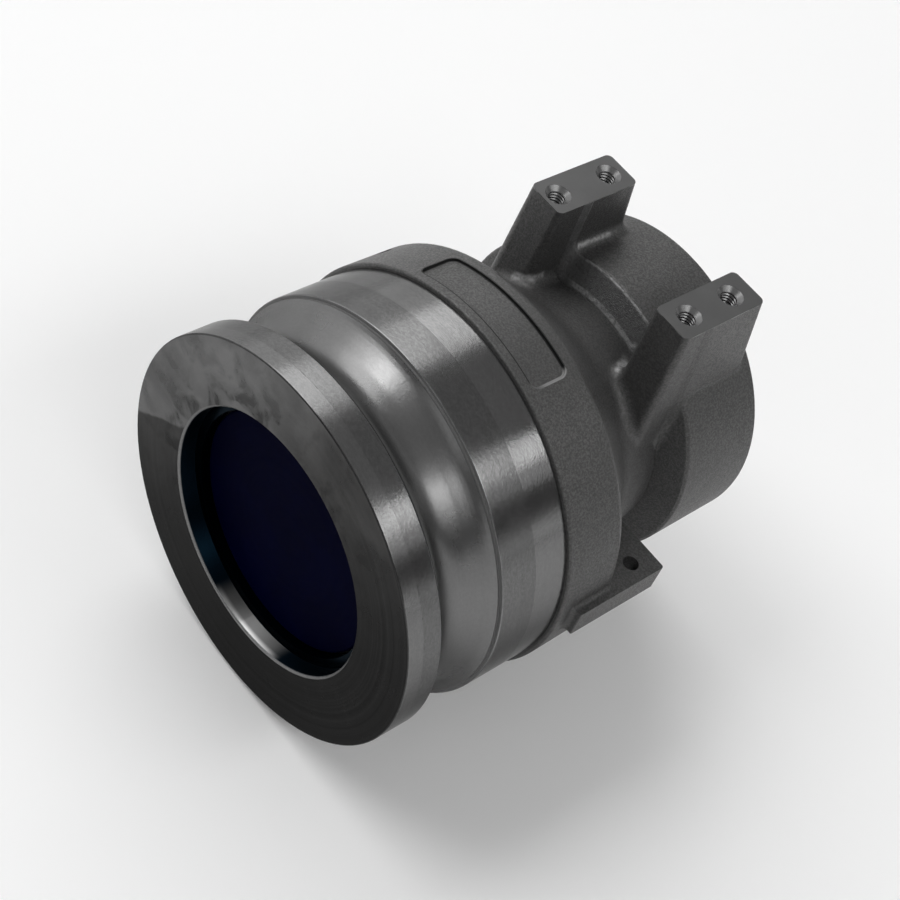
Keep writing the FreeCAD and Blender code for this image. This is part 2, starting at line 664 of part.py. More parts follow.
def spring():
    """Compression spring between the cup and the flange of the guide."""
    start = CUP_BACK + SPRING_WIRE
    finish = HUB_FRONT - SPRING_WIRE
    path = Part.makeHelix((finish - start) / SPRING_TURNS, finish - start, SPRING_RADIUS)
    circle = Part.makeCircle(SPRING_WIRE, FreeCAD.Vector(SPRING_RADIUS, 0, 0), AXIS)
    coil = Part.Wire(path.Edges).makePipeShell([Part.Wire([circle])], True, True)
    coil.rotate(CENTRE, FreeCAD.Vector(1, 0, 0), -90)
    coil.translate(FreeCAD.Vector(0, start, 0))
    return coil


def spider():
    """Guide held between the nose and the casting: rim, three arms and a hub."""
    rim_outer = SPIGOT_RADIUS - SPIDER_RING_CLEARANCE
    rim_inner = rim_outer - SPIDER_RING_WALL
    rim = tube(rim_outer, rim_inner, SPIGOT_END, SOCKET_FLOOR)
    hub = tube(HUB_RADIUS, BUSH_OUTER_RADIUS, HUB_FRONT, HUB_BACK)
    arms = []
    for index in range(SPIDER_ARMS):
        length = rim_inner - HUB_RADIUS + ARM_OVERLAP * 2
        arm = Part.makeBox(length, SOCKET_FLOOR - SPIGOT_END, SPIDER_ARM_WIDTH,
                           FreeCAD.Vector(HUB_RADIUS - ARM_OVERLAP, SPIGOT_END, -SPIDER_ARM_WIDTH / 2))
        arm.rotate(CENTRE, AXIS, SPIDER_ARM_ANGLE + 360 * index / SPIDER_ARMS)
        arms.append(arm)
    flange = tube(HUB_FLANGE_RADIUS, BUSH_OUTER_RADIUS, HUB_FRONT, HUB_FRONT + HUB_FLANGE_THICKNESS)
    return rim.fuse(arms + [hub, flange])


def bush():
    inner = STEM_RADIUS + BUSH_CLEARANCE
    flange_front = HUB_FRONT - BUSH_FLANGE_THICKNESS
    return tube(BUSH_OUTER_RADIUS, inner, HUB_FRONT, HUB_BACK).fuse(
        tube(BUSH_FLANGE_RADIUS, inner, flange_front, HUB_FRONT))


def stem_clip():
    front = HUB_BACK + CLIP_GAP
    ring = tube(CLIP_RADIUS, CLIP_GROOVE_RADIUS, front, front + CLIP_THICKNESS)
    mouth = Part.makeBox(CLIP_MOUTH, CLIP_THICKNESS, CLIP_RADIUS,
                         FreeCAD.Vector(-CLIP_MOUTH / 2, front, -CLIP_RADIUS - CLIP_GAP))
    return ring.cut(mouth)


os.makedirs("parts", exist_ok=True)
save(nose(), "adapter_nose")
save(body(), "adapter_body")
save(joint_oring(), "joint_oring")
save(lock_screw(), "nose_lock_screw")
save(poppet_head(), "poppet_head")
save(poppet_seal(), "poppet_seal")
save(clamp_plate(), "seal_clamp_plate")
save(clamp_screws(), "clamp_screws")
save(poppet_stem(), "poppet_stem")
save(stem_nut(), "stem_lock_nut")
save(spring_cup(), "spring_cup")
save(spring(), "poppet_spring")
save(spider(), "guide_spider")
save(bush(), "guide_bush")
save(stem_clip(), "stem_clip")
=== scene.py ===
import bpy
import math
import numpy as np
from mathutils import Matrix, Vector


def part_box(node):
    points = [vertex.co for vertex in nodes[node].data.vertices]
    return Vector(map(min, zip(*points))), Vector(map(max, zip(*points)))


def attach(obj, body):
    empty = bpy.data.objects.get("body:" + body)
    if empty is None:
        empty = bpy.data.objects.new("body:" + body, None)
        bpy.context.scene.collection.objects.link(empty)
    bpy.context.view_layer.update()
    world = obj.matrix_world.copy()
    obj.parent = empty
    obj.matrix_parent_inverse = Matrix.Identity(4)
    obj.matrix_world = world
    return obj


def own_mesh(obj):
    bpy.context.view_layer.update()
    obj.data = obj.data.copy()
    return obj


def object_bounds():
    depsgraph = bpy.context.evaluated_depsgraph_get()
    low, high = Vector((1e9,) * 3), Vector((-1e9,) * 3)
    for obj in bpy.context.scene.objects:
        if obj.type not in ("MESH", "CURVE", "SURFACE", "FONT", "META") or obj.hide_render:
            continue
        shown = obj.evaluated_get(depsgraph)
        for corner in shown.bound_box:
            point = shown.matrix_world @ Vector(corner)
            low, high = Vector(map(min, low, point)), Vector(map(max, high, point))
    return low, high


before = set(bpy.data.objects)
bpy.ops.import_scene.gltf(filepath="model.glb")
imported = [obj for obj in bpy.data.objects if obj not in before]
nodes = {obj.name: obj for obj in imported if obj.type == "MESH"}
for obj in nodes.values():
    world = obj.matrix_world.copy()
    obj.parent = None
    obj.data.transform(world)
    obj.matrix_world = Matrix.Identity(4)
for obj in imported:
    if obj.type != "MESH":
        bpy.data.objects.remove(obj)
cad_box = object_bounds()

MM = 0.001
NOSE_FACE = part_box("adapter_nose")[0].y
FLOOR_HEIGHT = cad_box[0][2] - 0.1 * MM
MIDDLE = Vector((0, -70 * MM, 5 * MM))

# Camera, solved from the circles of the nose and the lugs
TURN, RISE, ROLL = 32.94, 48.56, 23.13
LENS, SENSOR = 72.466, 36
AIM = Vector((0, -84.74 * MM, 0))
DISTANCE, SIDESTEP, LIFT = 517.55 * MM, 6.15 * MM, 3.81 * MM

# Scales of the patterns on the skins and on the floor, in waves to the metre
SAND_FINE, SAND_COARSE, SAND_SWELL, SAND_WEAR = 3600, 1550, 90, 28
PITS, PITTED_PATCHES = 330, 60
LATHE_FINE, LATHE_BROAD, LATHE_WANDER, LATHE_SMEAR = 4200, 620, 18, 55
GRAIN_COARSE, GRAIN_FINE = 1500, 4200
NICKS, HIGHLIGHT_BREAKUP, LIP_CHIPS, PAPER = 260, 900, 160, 3

# Sizes of the nose in millimetres. Stations run back from its face and radii out from its axis. A
# pair holds the start and end of a soft change, or the two limits of a zone
NOSE_RADIUS = 59.75
FACE_END, FACE_INNER = (0.05, 0.3), (39.6, 39.9)
BORE_OUTER, BORE_START, WALL_END = (39.3, 39.7), (0.5, 0.9), (5.5, 5.75)
FRONT_EDGE = (0.40, 0.48)
LEAD_END, LEAD_LINE = (5.28, 5.36), (5.27, 5.34)
GROOVE, STEP_FACE, STEP_OUTER = (11.35, 31.9), (31.7, 32.30), (59.35, 59.5)
LAND_EDGE_HIGHLIGHT, REAR_LAND, REAR_LINE = (32.2, 32.6), (43.95, 44.05), (43.93, 44.0)
LATHE_DEPTH, MOTTLE_DEPTH = 0.004, 0.038
# Near black teal painted as shade inside the bore
BORE_SHADE_TONE = (0.0006, 0.005, 0.010, 1.0)

# Marks on the nose in millimetres: the painted dark reflection low on its face and the painted
# bright reflection above it, whose edges lean as the factors say, smudges near the bore, and a
# painted reflection low in the bore
DARK_REFLECTION, DARK_REFLECTION_LEAN = (-20, 38), -0.55
LIT_REFLECTION, LIT_REFLECTION_ACROSS, LIT_REFLECTION_UP, LIT_REFLECTION_WAVES = (27.3, 28.4), -0.565, 0.827, 1.5
LIT_REFLECTION_LEFT, LIT_REFLECTION_LEFT_LEAN = (-36, 0), -0.3
NEAR_BORE = (41, 52)
BORE_REFLECTION_DEPTH = (0.9, 2.6)
BORE_REFLECTION_TURN, BORE_REFLECTION_SOFT = (math.radians(-101), math.radians(-72)), 0.16

# Bumps on the nose: the slope of the bore's taper, and how far the groove's ends are eased
BORE_TAPER, TAPER_END, TAPER_OUTER = 0.3, 5.7, (39.5, 40.1)
EASE_FRONT, EASE_FRONT_START, EASE_FRONT_END = 130.0, 11.3, 16.5
EASE_REAR, EASE_REAR_START, EASE_REAR_END = 75.0, 27, 32.0

# Sizes of the casting. Those given without MM are in millimetres, and turns in radians
LUG_TOP = 65.2 * MM
LUG_CENTRE = 25.7 * MM
LUG_HOLES = [(-LUG_CENTRE, -37.8 * MM), (-LUG_CENTRE, -17.8 * MM),
             (LUG_CENTRE, -34.1 * MM), (LUG_CENTRE, -17.2 * MM)]
SINK_RADIUS, SINK_DEPTH = 3.9, 15
RING_RADIUS = 60.95 * MM
PANEL_REAR, PANEL_LENGTH, PANEL_CORNER = -72.45 * MM, 12.6 * MM, 2.6 * MM
PANEL_MIDDLE, PANEL_SPAN = math.radians(92.5), math.radians(47.0)
PIPE_WALL, PIPE_DEPTH = (44.6, 45.2), (-25.6, -24.9)
SOCKET_WALL, SOCKET_REAR = (52.2, 52.6), (-66.9, -66.2)
PIPE_FACE = (-0.06, -0.02)
COLLAR_FACE, COLLAR_ROOT, COLLAR_BRIM = (-33.0, -29.8), (-33.4, -31.5), (-29.62, -29.4)
ROOT_RADIUS = (40.7, 41.6)
ROOT_TURN, BRIM_TURN, BAND_TURN = (1.30, 1.86), (1.24, 1.82), (1.28, 1.9)
RING_SKIN, PANEL_WALL, PANEL_HIGHLIGHT_START = (59, 59.5), (-0.45, 0.30), (-22.2, -24.0)
SAND_DEPTH = 0.085

# How far lathe marks darken and lighten plain metal, and the two tones of the disc's coating
MARKS_SHARE = 0.3
DISC_TONES = (0.0001, 0.0003, 0.0090, 1), (0.0002, 0.0006, 0.0125, 1)

# Ends and half width of the painted highlights along the ridges at the lug feet, in millimetres
FOOT_RIDGE_HIGHLIGHTS = [((14.4, -33.2, 39.4), (17.3, -39.6, 38.3), 0.9),
               ((17.3, -39.6, 38.3), (18.4, -41.8, 38.4), 0.3),
               ((-24.0, -45.2, 36.9), (-19.6, -43.4, 39.8), 0.4),
               ((-19.6, -43.4, 39.8), (-19.1, -39.5, 39.9), 0.3),
               ((-18.4, -28.5, 47.7), (-18.1, -16.5, 47.5), 0.0)]
RIDGE_SOFT = 1.3

# Lamps beside the object, in degrees and metres: angle round its axis, width, the places along it
# where the lamp starts and ends, strength
LAMP_DISTANCE = 3.0
LONG_LAMPS = {
    "left_wide": (142, 3.4, -2.2, 2.4, 0.95),
    "left_box": (127, 1.8, -2.2, 2.4, 1.6),
    "left_core": (120, 0.9, -1.7, -0.4, 3.0),
    "top_soft": (84, 3.0, -2.2, 2.4, 0.20),
    "right_strip": (48.5, 0.70, -1.6, 2.3, 3.1),
    "right_edge": (37, 0.75, -1.5, 2.3, 0.9),
}
# Lamps in front of it and behind it, in metres: direction, distance, width, height, strength
SOFT_LAMPS = {
    "front_fill": ((0.10, -0.83, 0.55), 3.2, 1.8, 1.2, 0.7),
    "rear_box": ((0.0, 0.86, 0.51), 3.4, 3.0, 1.6, 0.4),
}
# Brightness of the sky, what the horizon adds to it, and the height of view where that fades
SKY, HORIZON, HORIZON_FADE = 0.10, 0.86, (0.06, 0.20)
FLOOR_REACH, FLOOR_LINES = 9.0, 25


def standing(place, axes):
    """Matrix that puts a thing at a place, with its own axes along the given ones."""
    return Matrix.Translation(place) @ Matrix(axes).transposed().to_4x4()


def add_object(name, data):
    thing = bpy.data.objects.new(name, data)
    bpy.context.scene.collection.objects.link(thing)
    return thing


def camera_axes():
    """Right, up and back of the camera: a turn about the vertical, a rise, then a roll."""
    turn, rise, roll = (math.radians(angle) for angle in (TURN, RISE, ROLL))
    level = math.cos(rise)
    back = Vector((math.sin(turn) * level, -math.cos(turn) * level, math.sin(rise)))
    side = Vector((0, 0, 1)).cross(back).normalized()
    upright = back.cross(side)
    right = side * math.cos(roll) + upright * math.sin(roll)
    up = upright * math.cos(roll) - side * math.sin(roll)
    return right, up, back


def set_camera():
    right, up, back = camera_axes()
    data = bpy.data.cameras.new("camera")
    data.lens = LENS
    data.sensor_width = SENSOR
    data.sensor_fit = "HORIZONTAL"
    camera = add_object("camera", data)
    place = AIM + back * DISTANCE + right * SIDESTEP + up * LIFT
    camera.matrix_world = standing(place, (right, up, back))
    bpy.context.scene.camera = camera


def supply(tree, socket, value):
    """Feed an input from another node's output, or set it to a number."""
    if isinstance(value, bpy.types.NodeSocket):
        tree.links.new(value, socket)
    else:
        socket.default_value = value


def put(tree, kind, settings=None, **feeds):
    """One shader node, with its settings, and its inputs supplied by name, or by number as in0."""
    node = tree.nodes.new("ShaderNode" + kind)
    for name, value in (settings or {}).items():
        setattr(node, name, value)
    for name, value in feeds.items():
        key = int(name[2:]) if name.startswith("in") else name.replace("_", " ")
        supply(tree, node.inputs[key], value)
    return node


def calc(tree, operation, first, second=0.0, third=0.0):
    return put(tree, "Math", {"operation": operation}, in0=first, in1=second, in2=third).outputs[0]


def product(tree, first, *others):
    for other in others:
        first = calc(tree, "MULTIPLY", first, other)
    return first


def largest(tree, first, *others):
    for other in others:
        first = calc(tree, "MAXIMUM", first, other)
    return first


def clamped(tree, value, low, high):
    return calc(tree, "MINIMUM", calc(tree, "MAXIMUM", value, low), high)


def mean(tree, first, share, second):
    """Mean of two values, the first one weighted by the share."""
    return calc(tree, "MULTIPLY_ADD", first, share, calc(tree, "MULTIPLY", second, 1 - share))


def vector_calc(tree, operation, first, **feeds):
    """Vector arithmetic: a number for a length, distance or dot product, and else a vector."""
    outputs = put(tree, "VectorMath", {"operation": operation}, in0=first, **feeds).outputs
    return outputs["Value" if operation in ("LENGTH", "DISTANCE", "DOT_PRODUCT") else "Vector"]


def ramp(tree, value, low, high, start=0.0, finish=1.0):
    """Smooth step of a value from low to high."""
    node = put(tree, "MapRange", {"interpolation_type": "SMOOTHSTEP"}, Value=value,
               From_Min=low, From_Max=high, To_Min=start, To_Max=finish)
    return node.outputs[0]


def beyond(tree, value, limits):
    """Mask that grows from nothing to one between two limits in millimetres."""
    return ramp(tree, value, limits[0] * MM, limits[1] * MM)


def within(tree, value, limits):
    """Mask that falls from one to nothing between two limits in millimetres."""
    return ramp(tree, value, limits[0] * MM, limits[1] * MM, 1.0, 0.0)


def between(tree, value, low, high, soft):
    """Mask that is one between two values and falls to nothing within a soft edge outside them."""
    rise = ramp(tree, value, low - soft, low)
    return product(tree, rise, ramp(tree, value, high, high + soft, 1.0, 0.0))


def zone(tree, value, limits, soft):
    """The mask of between, with its limits and its soft edge in millimetres."""
    return between(tree, value, limits[0] * MM, limits[1] * MM, soft * MM)


def blend_tone(tree, share, first, second):
    """First colour where the share is nothing, second where it is one."""
    settings = {"data_type": "RGBA", "clamp_factor": True}
    return put(tree, "Mix", settings, in0=share, in6=first, in7=second).outputs[2]


def blend_value(tree, share, first, second):
    return put(tree, "Mix", {"data_type": "FLOAT"}, in0=share, in2=first, in3=second).outputs[0]


def layered(tree, tone, layers):
    """Lay colours over a tone. A layer is its mask, its share or None for all of it, its colour."""
    for mask, share, colour in layers:
        weight = mask if share is None else product(tree, mask, share)
        tone = blend_tone(tree, weight, tone, colour)
    return tone


def grey(level, warmth=0.0):
    return (level * (1 + warmth), level, level * (1 - warmth), 1.0)


def new_group(name, inputs, outputs):
    """Empty node group, with the sockets that it reads from and those that it hands over."""
    tree = bpy.data.node_groups.new(name, "ShaderNodeTree")
    for label in inputs:
        tree.interface.new_socket(label, in_out="INPUT", socket_type="NodeSocketFloat")
    for label in outputs:
        tree.interface.new_socket(label, in_out="OUTPUT", socket_type="NodeSocketFloat")
    return tree, tree.nodes.new("NodeGroupInput").outputs, tree.nodes.new("NodeGroupOutput").inputs


def object_place(tree):
    return tree.nodes.new("ShaderNodeTexCoord").outputs["Object"]


def place_coordinates(tree):
    """Object place, its parts, and the distance from the axis."""
    place = object_place(tree)
    parts = put(tree, "SeparateXYZ", Vector=place).outputs
    flat = put(tree, "CombineXYZ", X=parts[0], Z=parts[2]).outputs[0]
    return place, parts, vector_calc(tree, "LENGTH", flat)


def length_of(tree, across, along):
    """Length of a flat vector given by its two parts."""
    return vector_calc(tree, "LENGTH", put(tree, "CombineXYZ", X=across, Y=along).outputs[0])


def noise(tree, place, scale, detail=2.0, rough=0.5, distortion=0.0):
    node = put(tree, "TexNoise", {"noise_dimensions": "3D"}, Vector=place, Scale=scale,
               Detail=detail, Roughness=rough, Distortion=distortion)
    return node.outputs[0]


def ring_noise(tree, run, scale, detail):
    """Noise of one number, so it draws rings."""
    node = put(tree, "TexNoise", {"noise_dimensions": "1D"}, W=run, Scale=scale, Detail=detail,
               Roughness=0.6)
    return node.outputs[0]


def make_sand_skin():
    """Sand cast skin: fine grains, coarser grains and slow swells of the mould, with a few pits."""
    tree, start, end = new_group("sand_skin", ["Grain", "Swell"], ["Height", "Tone", "Wear"])
    place = object_place(tree)
    fine = noise(tree, place, SAND_FINE, rough=0.6)
    coarse = noise(tree, place, SAND_COARSE, rough=0.6)
    swell = noise(tree, place, SAND_SWELL)
    cells = put(tree, "TexVoronoi", {"feature": "F1"}, Vector=place, Scale=PITS, Randomness=1.0)
    few = ramp(tree, noise(tree, place, PITTED_PATCHES, detail=1.0), 0.60, 0.68)
    pits = product(tree, ramp(tree, cells.outputs[0], 0.05, 0.22, 1.0, 0.0), few)
    grains = product(tree, calc(tree, "MULTIPLY_ADD", coarse, 0.9, fine), start["Grain"])
    height = calc(tree, "MULTIPLY_ADD", swell, start["Swell"], grains)
    wear = noise(tree, place, SAND_WEAR, detail=3.0, rough=0.6)
    tree.links.new(calc(tree, "MULTIPLY_ADD", pits, -1.1, height), end["Height"])
    tree.links.new(ramp(tree, mean(tree, coarse, 0.6, fine), 0.40, 0.62), end["Tone"])
    tree.links.new(ramp(tree, wear, 0.35, 0.7), end["Wear"])
    return tree


def make_turning_marks():
    """Lathe marks: rings that change with the place along the axis and the distance from it."""
    tree, start, end = new_group("turning_marks", ["Pitch"], ["Height", "Tone", "Smear"])
    place, parts, reach = place_coordinates(tree)
    wander = product(tree, noise(tree, place, LATHE_WANDER, detail=1.0), 0.12 * MM)
    run = calc(tree, "ADD", wander, calc(tree, "ADD", parts[1], reach))
    run = product(tree, run, start["Pitch"])
    fine = ring_noise(tree, run, LATHE_FINE, 2.0)
    broad = ring_noise(tree, run, LATHE_BROAD, 3.0)
    smear = noise(tree, place, LATHE_SMEAR, detail=4.0, rough=0.62)
    tree.links.new(fine, end["Height"])
    tree.links.new(ramp(tree, mean(tree, fine, 0.45, broad), 0.32, 0.68), end["Tone"])
    tree.links.new(ramp(tree, smear, 0.35, 0.68), end["Smear"])
    return tree


def make_metal_grain():
    """Fine mottle of bare machined metal, a little longer round the axis than along it."""
    tree, _, end = new_group("metal_grain", [], ["Height", "Tone"])
    drawn = vector_calc(tree, "MULTIPLY", object_place(tree), in1=(0.6, 1.0, 0.6))
    coarse = noise(tree, drawn, GRAIN_COARSE, rough=0.6)
    mottle = mean(tree, coarse, 0.65, noise(tree, drawn, GRAIN_FINE, rough=0.6))
    tree.links.new(mottle, end["Height"])
    tree.links.new(ramp(tree, mottle, 0.40, 0.62), end["Tone"])
    return tree


def make_stains():
    """Handling stains on bare metal: slow cloudy patches, smaller smudges and small specks."""
    tree, _, end = new_group("stains", [], ["Cloud", "Smudge", "Speck"])
    place = object_place(tree)
    for label, scale, detail, rough, distortion, low, high in (
            ("Cloud", 34, 4.0, 0.55, 0.4, 0.36, 0.66),
            ("Smudge", 120, 4.0, 0.6, 0.5, 0.46, 0.66),
            ("Speck", 700, 3.0, 0.7, 0.0, 0.58, 0.72)):
        patches = noise(tree, place, scale, detail, rough, distortion)
        tree.links.new(ramp(tree, patches, low, high), end[label])
    return tree


SAND_SKIN = make_sand_skin()
TURNING_MARKS = make_turning_marks()
METAL_GRAIN = make_metal_grain()
STAINS = make_stains()


def use(tree, group, **feeds):
    return put(tree, "Group", {"node_tree": group}, **feeds).outputs


def new_finish(name):
    """Plain new material, with its node tree and its shader."""
    finish = bpy.data.materials.new(name)
    finish.use_nodes = True
    tree = finish.node_tree
    return finish, tree, tree.nodes["Principled BSDF"]


def feed(tree, shader, **feeds):
    for name, value in feeds.items():
        supply(tree, shader.inputs[name.replace("_", " ")], value)


def dent(tree, height, depth, before=None):
    """Bump of a height times a depth, on top of an earlier bump where there is one."""
    node = put(tree, "Bump", Height=height, Distance=depth)
    if before is not None:
        tree.links.new(before, node.inputs["Normal"])
    return node.outputs[0]


def turn_about_axis(tree, parts):
    return calc(tree, "ARCTAN2", parts[2], parts[0])


def side_tone(tree, place, station, marks, grain, groove, rear_land):
    """Turned outside: lathe marks and mottle, brighter bands, a painted highlight along the land's
    front edge, and dark lines left by the tool.
    """
    lead_line = zone(tree, station, LEAD_LINE, 0.10)
    nicks = product(tree, lead_line, ramp(tree, noise(tree, place, NICKS), 0.60, 0.66))
    lines = calc(tree, "ADD", product(tree, lead_line, 0.18),
                 product(tree, zone(tree, station, REAR_LINE, 0.08), 0.22))
    return layered(tree, blend_tone(tree, marks["Tone"], grey(0.128), grey(0.148)), [
        (grain["Tone"], 0.45, grey(0.215)),
        (marks["Smear"], 0.25, grey(0.118)),
        (rear_land, 0.30, grey(0.27)),
        (within(tree, station, LEAD_END), 0.25, grey(0.26)),
        (groove, 0.6, grey(0.205)),
        (largest(tree, lines, product(tree, nicks, 0.9)), None, grey(0.03)),
        # Painted highlight along the land's front edge
        (zone(tree, station, LAND_EDGE_HIGHLIGHT, 0.1), product(tree, marks["Smear"], 0.5), grey(0.36)),
    ])


def face_tone(tree, parts, reach, marks, stains):
    """Front face: painted dark reflection below, painted bright reflection above a cloudy edge,
    with smudges and specks.
    """
    clouds = stains["Cloud"]
    # Painted dark reflection over the lower part of the face
    dark_reflection = within(tree, calc(tree, "MULTIPLY_ADD", parts[0], DARK_REFLECTION_LEAN, parts[2]), DARK_REFLECTION)
    # Painted bright reflection over the upper left of the face, its edge broken by the stain clouds
    level = calc(tree, "ADD", product(tree, parts[0], LIT_REFLECTION_ACROSS),
                 product(tree, parts[2], LIT_REFLECTION_UP))
    level = calc(tree, "MULTIPLY_ADD", clouds, LIT_REFLECTION_WAVES * MM, level)
    left = within(tree, calc(tree, "MULTIPLY_ADD", parts[2], LIT_REFLECTION_LEFT_LEAN, parts[0]), LIT_REFLECTION_LEFT)
    painted_highlight_share = product(tree, beyond(tree, level, LIT_REFLECTION), left)
    near_bore = ramp(tree, reach, NEAR_BORE[0] * MM, NEAR_BORE[1] * MM, 0.75, 0.25)
    return layered(tree, blend_tone(tree, clouds, grey(0.036, 0.01), grey(0.060, 0.01)), [
        (painted_highlight_share, None, blend_tone(tree, clouds, grey(0.115), grey(0.185))),
        (dark_reflection, 0.93, grey(0.009, 0.01)),
        (marks["Tone"], 0.06, grey(0.20)),
        (stains["Smudge"], near_bore, grey(0.020, 0.01)),
        (stains["Speck"], 0.18, grey(0.035)),
    ])


def nose_roughness(tree, marks, stains, front, groove, rear_land, wall, step_face):
    """Satin groove, smoother land, smudged face, duller bore wall and step."""
    side = calc(tree, "MULTIPLY_ADD", rear_land, -0.05, 0.19)
    side = calc(tree, "MULTIPLY_ADD", marks["Smear"], 0.06, blend_value(tree, groove, side, 0.27))
    face = calc(tree, "MULTIPLY_ADD", stains["Smudge"], 0.10, 0.21)
    face = calc(tree, "MULTIPLY_ADD", stains["Cloud"], -0.06, face)
    rough = blend_value(tree, wall, blend_value(tree, front, side, face), 0.34)
    return blend_value(tree, step_face, rough, 0.6)


def nose_bumps(tree, station, reach, marks, grain, front):
    """Lathe lines, mottle, the bore's taper and the eased ends of the groove.

    The groove's heights are clamped, so they stay level outside their own stretch and need no mask.
    """
    lines = dent(tree, marks["Height"], LATHE_DEPTH * MM)
    mottled = product(tree, grain["Height"], calc(tree, "SUBTRACT", 1.0, front))
    mottle = dent(tree, mottled, MOTTLE_DEPTH * MM, before=lines)
    slope = product(tree, calc(tree, "MINIMUM", station, TAPER_END * MM), BORE_TAPER)
    taper = dent(tree, product(tree, slope, within(tree, reach, TAPER_OUTER)), 1.0, before=mottle)
    ahead = calc(tree, "SUBTRACT", EASE_FRONT_END * MM,
                 clamped(tree, station, EASE_FRONT_START * MM, EASE_FRONT_END * MM))
    behind = calc(tree, "SUBTRACT",
                  clamped(tree, station, EASE_REAR_START * MM, EASE_REAR_END * MM),
                  EASE_REAR_START * MM)
    ease = calc(tree, "ADD", product(tree, ahead, ahead, -EASE_FRONT),
                product(tree, behind, behind, -EASE_REAR))
    return dent(tree, ease, 1.0, before=taper)


def turned_nose():
    """Bare turned metal of the nose: front face with stains and painted reflections, satin groove,
    bright land, painted shade in the bore and a painted reflection low on its wall.
    """
    finish, tree, shader = new_finish("turned_nose")
    place, parts, reach = place_coordinates(tree)
    station = calc(tree, "SUBTRACT", parts[1], NOSE_FACE)
    marks = use(tree, TURNING_MARKS, Pitch=1.0)
    grain = use(tree, METAL_GRAIN)
    stains = use(tree, STAINS)
    front = product(tree, within(tree, station, FACE_END), beyond(tree, reach, FACE_INNER))
    bore = product(tree, within(tree, reach, BORE_OUTER), beyond(tree, station, BORE_START))
    wall = product(tree, bore, within(tree, station, WALL_END))
    groove = zone(tree, station, GROOVE, 0.12)
    rear_land = beyond(tree, station, REAR_LAND)
    step_face = product(tree, zone(tree, station, STEP_FACE, 0.1), within(tree, reach, STEP_OUTER))
    inward = calc(tree, "SUBTRACT", NOSE_RADIUS * MM, reach)
    rim = within(tree, calc(tree, "ADD", station, inward), FRONT_EDGE)
    # Painted reflection low on the bore wall, darker deeper in as painted shade
    bore_reflection = between(tree, turn_about_axis(tree, parts), *BORE_REFLECTION_TURN, BORE_REFLECTION_SOFT)
    bore_reflection_tone = blend_tone(tree, beyond(tree, station, BORE_REFLECTION_DEPTH), grey(0.40), grey(0.10))
    side = side_tone(tree, place, station, marks, grain, groove, rear_land)
    face = face_tone(tree, parts, reach, marks, stains)
    tone = layered(tree, blend_tone(tree, front, side, face), [
        (rim, 0.75, grey(0.03)),
        # Painted shade in the bore
        (bore, None, BORE_SHADE_TONE),
        (wall, bore_reflection, bore_reflection_tone),
        # Painted light: the step face is dull light grey, so it does not mirror the shade in front
        # of it
        (step_face, None, grey(0.17)),
    ])
    feed(tree, shader, Base_Color=tone, Metallic=calc(tree, "MULTIPLY_ADD", step_face, -0.84, 0.94),
         Roughness=nose_roughness(tree, marks, stains, front, groove, rear_land, wall, step_face),
         Anisotropic=0.3, Anisotropic_Rotation=0.25, Specular_Tint=grey(0.55),
         Tangent=put(tree, "Tangent", {"direction_type": "RADIAL", "axis": "Y"}).outputs[0],
         Normal=nose_bumps(tree, station, reach, marks, grain, front))
    return finish


def rounded_edge(tree, across, along, half_width, half_length, corner):
    """Distance from the edge of a rounded rectangle, less than nothing inside it."""
    sides = [calc(tree, "SUBTRACT", calc(tree, "ABSOLUTE", offset), half - corner)
             for offset, half in ((across, half_width), (along, half_length))]
    away = length_of(tree, *(calc(tree, "MAXIMUM", side, 0.0) for side in sides))
    inner = calc(tree, "MINIMUM", calc(tree, "MAXIMUM", *sides), 0.0)
    return calc(tree, "SUBTRACT", calc(tree, "ADD", away, inner), corner)


def from_line(tree, place, here, there):
    """Distance from the straight line between two points given in millimetres."""
    start, run = Vector(here) * MM, (Vector(there) - Vector(here)) * MM
    away = vector_calc(tree, "SUBTRACT", place, in1=start)
    share = vector_calc(tree, "DOT_PRODUCT", away, in1=run / run.length_squared)
    share = put(tree, "Clamp", Value=share).outputs[0]
    return vector_calc(tree, "DISTANCE", away, in1=vector_calc(tree, "SCALE", run, Scale=share))


def near_holes(tree, parts):
    """Mask round the axes of the four lug holes, as wide as their countersinks."""
    masks = []
    for x, y in LUG_HOLES:
        across, along = calc(tree, "SUBTRACT", parts[0], x), calc(tree, "SUBTRACT", parts[1], y)
        masks.append(ramp(tree, length_of(tree, across, along), SINK_RADIUS * MM,
                          SINK_RADIUS * MM + 0.03 * MM, 1.0, 0.0))
    total = calc(tree, "ADD", calc(tree, "ADD", *masks[:2]), calc(tree, "ADD", *masks[2:]))
    return calc(tree, "MINIMUM", total, 1.0)


def panel_wall_shade(tree, parts, reach, turn):
    """Mask and tone of the wall round the ring's panel: painted shade, with a painted highlight at
    its right end.
    """
    across = product(tree, calc(tree, "SUBTRACT", turn, PANEL_MIDDLE), RING_RADIUS)
    along = calc(tree, "SUBTRACT", parts[1], PANEL_REAR - PANEL_LENGTH / 2)
    edge = rounded_edge(tree, across, along, RING_RADIUS * PANEL_SPAN / 2, PANEL_LENGTH / 2,
                        PANEL_CORNER)
    wall = product(tree, zone(tree, edge, PANEL_WALL, 0.12), beyond(tree, reach, RING_SKIN))
    # Painted highlight on the right end of the wall
    painted_highlight_end = product(tree, beyond(tree, across, PANEL_HIGHLIGHT_START),
                        ramp(tree, along, -5.0 * MM, -1.0 * MM, 0.4, 1.0))
    return wall, blend_tone(tree, painted_highlight_end, grey(0.018), grey(0.30))


